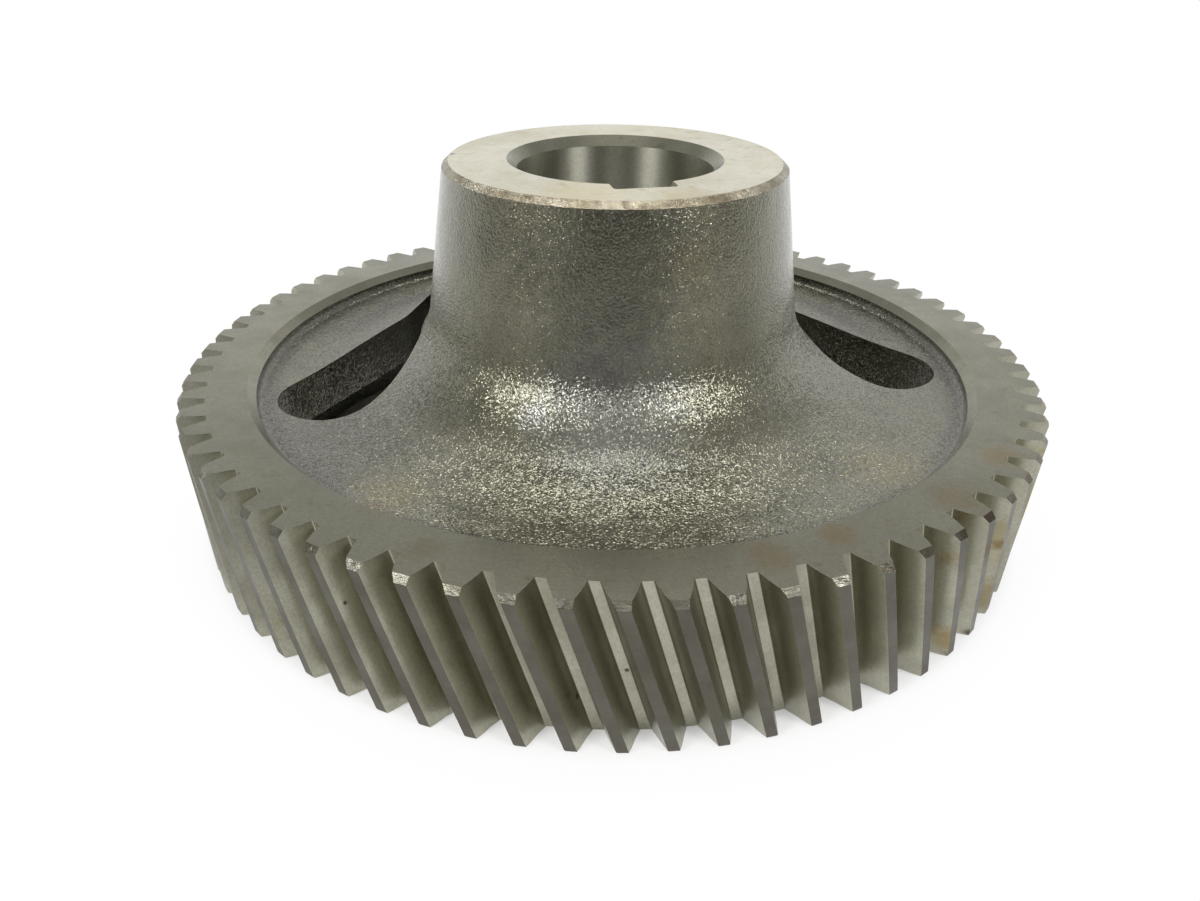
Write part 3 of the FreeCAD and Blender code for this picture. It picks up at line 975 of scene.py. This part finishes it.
# Floor, light and camera
def white_sweep():
    """White paper under the gear, which keeps the gear's soft shadow and runs into the white behind."""
    finish, tree = new_finish("white_paper")
    path = add(tree, "ShaderNodeLightPath")
    place = add(tree, "ShaderNodeTexCoord").outputs["Object"]
    # The steel sees the white fade out on the side that the camera stands on
    depth = add(tree, "ShaderNodeSeparateXYZ", {0: place})
    lit = add(
        tree, "ShaderNodeMapRange",
        {
            "Value": depth.outputs["Y"], "From Min": PAPER_DARK, "From Max": PAPER_WHITE,
            "To Min": 0.05, "To Max": 1.0,
        },
        interpolation_type="SMOOTHSTEP",
    )
    mirrored = add(
        tree, "ShaderNodeMath",
        {0: path.outputs["Is Glossy Ray"], 1: lit.outputs["Result"]}, operation="MULTIPLY",
    )
    seen = add(
        tree, "ShaderNodeMath",
        {0: path.outputs["Is Camera Ray"], 1: mirrored.outputs["Value"]}, operation="MAXIMUM",
    )
    seen = add(
        tree, "ShaderNodeMath",
        {0: seen.outputs["Value"], 1: path.outputs["Is Transmission Ray"]}, operation="MAXIMUM",
    )
    away = add(tree, "ShaderNodeVectorMath", {0: place}, operation="LENGTH")
    way = add(
        tree, "ShaderNodeMath", {0: away.outputs["Value"], 1: PAPER_REACH * MM}, operation="DIVIDE",
    )
    clear = add(tree, "ShaderNodeValToRGB", {"Fac": way.outputs["Value"]}, stops=grey_stops(PAPER_STOPS))
    share = add(
        tree, "ShaderNodeMath",
        {0: seen.outputs["Value"], 1: clear.outputs["Color"]}, operation="MULTIPLY",
    )
    paper = add(tree, "ShaderNodeBsdfDiffuse", {"Color": linear("#f2f2f2")})
    glow = add(tree, "ShaderNodeEmission", {"Color": linear("#ffffff"), "Strength": 1.0})
    mixed = add(
        tree, "ShaderNodeMixShader",
        {0: share.outputs["Value"], 1: paper.outputs["BSDF"], 2: glow.outputs["Emission"]},
    )
    add(tree, "ShaderNodeOutputMaterial", {"Surface": mixed.outputs["Shader"]})
    return finish


mesh = bmesh.new()
bmesh.ops.create_grid(mesh, x_segments=1, y_segments=1, size=PAPER_SIZE)
floor = make_object("floor", mesh)
floor.data.materials.append(white_sweep())


def studio_room():
    """The room that the steel mirrors: white behind the gear, dark in front, with soft light overhead."""
    world = bpy.data.worlds.new("studio")
    world.use_nodes = True
    bpy.context.scene.world = world
    tree = world.node_tree
    tree.nodes.clear()
    path = add(tree, "ShaderNodeLightPath")
    seen = add(
        tree, "ShaderNodeMath",
        {0: path.outputs["Is Camera Ray"], 1: path.outputs["Is Transmission Ray"]}, operation="MAXIMUM",
    )
    way = add(tree, "ShaderNodeTexCoord").outputs["Generated"]
    facing = add(tree, "ShaderNodeSeparateXYZ", {0: way})
    behind = add(
        tree, "ShaderNodeMapRange", {"Value": facing.outputs["Y"], "From Min": -0.3, "From Max": 0.35},
        interpolation_type="SMOOTHSTEP",
    )
    # The wall behind is white near the floor and falls away into the dark room above
    wall = add(tree, "ShaderNodeValToRGB", {"Fac": facing.outputs["Z"]}, stops=grey_stops(WALL_STOPS))
    wall = add(
        tree, "ShaderNodeMath",
        {0: behind.outputs["Result"], 1: wall.outputs["Color"]}, operation="MULTIPLY",
    )
    overhead = add(
        tree, "ShaderNodeMapRange",
        {"Value": facing.outputs["Z"], "From Min": 0.5, "From Max": 0.92, "To Min": 0.05, "To Max": 0.42},
    )
    room = add(
        tree, "ShaderNodeMath",
        {0: wall.outputs["Value"], 1: overhead.outputs["Result"]}, operation="MAXIMUM",
    )
    level = add(
        tree, "ShaderNodeMath",
        {0: room.outputs["Value"], 1: seen.outputs["Value"]}, operation="MAXIMUM",
    )
    air = add(tree, "ShaderNodeBackground", {"Color": linear("#ffffff"), "Strength": level.outputs["Value"]})
    add(tree, "ShaderNodeOutputWorld", {"Surface": air.outputs["Background"]})


studio_room()

# What the lamps shine at, in metres
LAMP_TARGET = (0, 0, 0.03)


def hang_lamp(name, place, size, power):
    """A square soft box that shines at the gear. Its place and size are in metres, its power in watts."""
    lamp = bpy.data.lights.new(name, "AREA")
    lamp.shape = "SQUARE"
    lamp.size = size
    lamp.energy = power
    lamp_object = bpy.data.objects.new(name, lamp)
    bpy.context.scene.collection.objects.link(lamp_object)
    lamp_object.location = place
    aim = Vector(LAMP_TARGET) - Vector(place)
    lamp_object.rotation_euler = aim.to_track_quat("-Z", "Y").to_euler()


hang_lamp("left_soft_box", place=(-0.60, -0.56, 0.56), size=0.30, power=4.6)
hang_lamp("right_soft_box", place=(0.62, -0.56, 0.54), size=0.30, power=4.2)
hang_lamp("front_soft_box", place=(0.0, -0.84, 0.68), size=0.30, power=1.2)
hang_lamp("rear_lamp", place=(0.0, 0.28, 0.97), size=0.42, power=4.2)

# The camera stands close in front of the gear, over its upper edge, as a small camera does for a
# close-up. Its place is in metres, its pitch and roll are in radians, and its lens and sensor are
# in millimetres.
CAMERA_PLACE = (-0.00305, -0.19274, 0.11258)
CAMERA_PITCH = 0.63687
CAMERA_ROLL = 0.01125
LENS = 26.811
SENSOR_WIDTH = 36
SHIFT_ACROSS = 0.00385
SHIFT_UP = 0.0975

view = bpy.data.cameras.new("camera")
view.sensor_width = SENSOR_WIDTH
view.lens = LENS
view.shift_x = SHIFT_ACROSS
view.shift_y = SHIFT_UP
view.clip_start = 0.01
camera = bpy.data.objects.new("camera", view)
bpy.context.scene.collection.objects.link(camera)
camera.matrix_world = (
    Matrix.Translation(CAMERA_PLACE)
    @ Matrix.Rotation(math.pi / 2 - CAMERA_PITCH, 4, "X")
    @ Matrix.Rotation(CAMERA_ROLL, 4, "Z")
)
bpy.context.scene.camera = camera
bpy.context.scene.view_settings.view_transform = "Standard"
